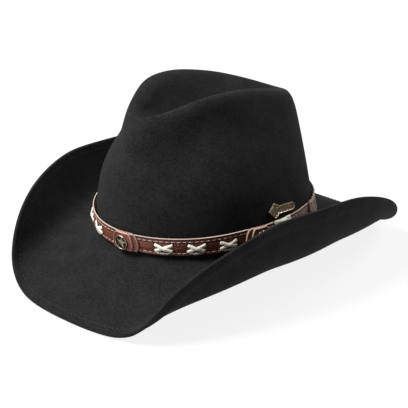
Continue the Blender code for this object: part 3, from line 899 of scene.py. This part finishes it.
def makeBadge():
    body, point = badgeLook["body"] / 2, badgeLook["headHeight"] / 2
    tip = -badgeLook["length"] / 2
    wide, end = tip + badgeLook["head"], badgeLook["length"] / 2 - body
    neck = wide + badgeLook["neck"]
    bm = bmesh.new()
    outline = [(tip, 0), (wide, -point), (neck, -body)]
    for step in range(badgeLook["endSteps"] + 1):
        angle = math.pi * (step / badgeLook["endSteps"] - 0.5)
        outline.append((end + body * math.cos(angle), body * math.sin(angle)))
    outline += [(neck, body), (wide, point)]
    face = bm.faces.new([bm.verts.new((x, y, 0)) for x, y in outline])
    grown = bmesh.ops.extrude_face_region(bm, geom=[face])
    top = [item for item in grown["geom"] if isinstance(item, bmesh.types.BMFace)][0]
    bmesh.ops.translate(bm, verts=top.verts, vec=(0, 0, badgeLook["thickness"]))
    bmesh.ops.inset_region(bm, faces=[top], thickness=badgeLook["border"])
    half = badgeLook["thickness"] / 2
    rim = [edge for edge in bm.edges if all(vertex.co.z > half for vertex in edge.verts)]
    bmesh.ops.inset_region(
        bm, faces=[top], thickness=badgeLook["sunkEdge"], depth=-badgeLook["sunk"],
    )
    top.material_index = 1
    bmesh.ops.bevel(
        bm, geom=[edge for edge in rim if edge.is_valid and edge.calc_length() > 0],
        affect="EDGES", offset=badgeLook["edge"], segments=2, profile=0.5, material=-1,
    )

    # a small raised ring on the face, round a bare middle
    def ringPlace(column, row):
        around = 2 * math.pi * column / badgeLook["columns"]
        section = 2 * math.pi * row / badgeLook["rows"]
        reach = badgeLook["stud"] + badgeLook["studRound"] * math.cos(section)
        sunk = badgeLook["thickness"] - badgeLook["sunk"]
        return Vector((
            reach * math.cos(around) + tip + badgeLook["studPlace"], reach * math.sin(around),
            sunk + badgeLook["studRound"] * math.sin(section),
        ))

    ring = shapedGrid(badgeLook["columns"], badgeLook["rows"], ringPlace)
    bmesh.ops.remove_doubles(ring, verts=ring.verts, dist=badgeLook["weld"])
    lay(bm, ring)
    turn, up = math.radians(badgeLook["turn"]), badgeLook["up"]
    halfTurn = badgeLook["length"] / head["length"]
    sideways = wallPoint(turn + halfTurn, up) - wallPoint(turn - halfTurn, up)
    upwards = wallPoint(turn, up + point) - wallPoint(turn, up - point)
    seat = turnedTo(placed(wallPoint(turn, up)), restTurn @ sideways, restTurn @ upwards)
    seat = seat @ Matrix.Rotation(math.radians(badgeLook["slope"]), 4, "Z")
    seat = seat @ Matrix.Translation((0, 0, band["gap"]))
    bmesh.ops.transform(bm, verts=bm.verts, matrix=seat)
    piece = makePiece("arrow_badge", bm, badgeBronze, ["side_badge"], 30)
    piece.data.materials.append(darkBronze)


makeBadge()
print("badge made")

studio = {
    "floorSize": 8, "floorTone": 0.12, "floorGlow": 0.86, "worldGlow": 0.26, "lampAim": 0.06,
    # azimuth from the front toward the wearer's left, elevation, distance, size, power
    "lamps": {"keyLamp": (-30, 52, 1.6, 0.8, 50.0), "backLamp": (168, 35, 1.8, 0.8, 20.0)},
}


def addFloorAndLights():
    bpy.ops.mesh.primitive_plane_add(size=studio["floorSize"])
    floor = bpy.context.object
    floor.name = "studio_floor"
    white = bpy.data.materials.new("studioWhite")
    white.use_nodes = True
    tone = studio["floorTone"]
    setFinish(white, {
        "Base Color": (tone, tone, tone, 1), "Roughness": 1.0, "Specular IOR Level": 0.0,
        "Emission Color": (1, 1, 1, 1), "Emission Strength": studio["floorGlow"],
    })
    floor.data.materials.append(white)
    world = bpy.data.worlds.new("studioWorld")
    world.use_nodes = True
    background = world.node_tree.nodes["Background"]
    background.inputs["Color"].default_value = (1, 1, 1, 1)
    background.inputs["Strength"].default_value = studio["worldGlow"]
    bpy.context.scene.world = world
    for name, (azimuth, elevation, distance, size, power) in studio["lamps"].items():
        lamp = bpy.data.lights.new(name, "AREA")
        lamp.shape, lamp.size, lamp.energy = "DISK", size, power
        holder = bpy.data.objects.new(name, lamp)
        turn, rise = math.radians(azimuth), math.radians(elevation)
        place = distance * Vector((
            math.sin(turn) * math.cos(rise), -math.cos(turn) * math.cos(rise), math.sin(rise),
        ))
        holder.location = place + Vector((0, 0, studio["lampAim"]))
        holder.rotation_euler = place.to_track_quat("Z", "Y").to_euler()
        bpy.context.scene.collection.objects.link(holder)
    bpy.context.scene.view_settings.view_transform = "Standard"


addFloorAndLights()

# the photograph's own angle: a long lens from the front left, a little above the brim
shot = {
    "turn": 42.76389, "rise": 21.59202, "roll": 0.51318, "distance": 1.3,
    "sensor": 36, "lens": 135.02, "aimHeight": 0.020, "aimLeft": 0.00148, "aimDown": 0.01534,
}


def addCamera():
    turn, rise, roll = (math.radians(shot[name]) for name in ("turn", "rise", "roll"))
    back = restTurn @ Vector((
        math.sin(turn) * math.cos(rise), -math.cos(turn) * math.cos(rise), math.sin(rise),
    ))
    right = restTurn @ Vector((math.cos(turn), math.sin(turn), 0))
    up = back.cross(right)
    back = shot["distance"] * back
    place = placed(Vector((0, 0, shot["aimHeight"]))) + back
    facing = (back + shot["aimLeft"] * right + shot["aimDown"] * up).normalized()
    right = (right - right.dot(facing) * facing).normalized()
    turned = Matrix((right, facing.cross(right), facing)).transposed().to_4x4()
    lens = bpy.data.cameras.new("photoCamera")
    lens.sensor_width, lens.lens = shot["sensor"], shot["lens"]
    holder = bpy.data.objects.new("photoCamera", lens)
    holder.matrix_world = Matrix.Translation(place) @ turned @ Matrix.Rotation(roll, 4, "Z")
    bpy.context.scene.collection.objects.link(holder)
    bpy.context.scene.camera = holder


addCamera()
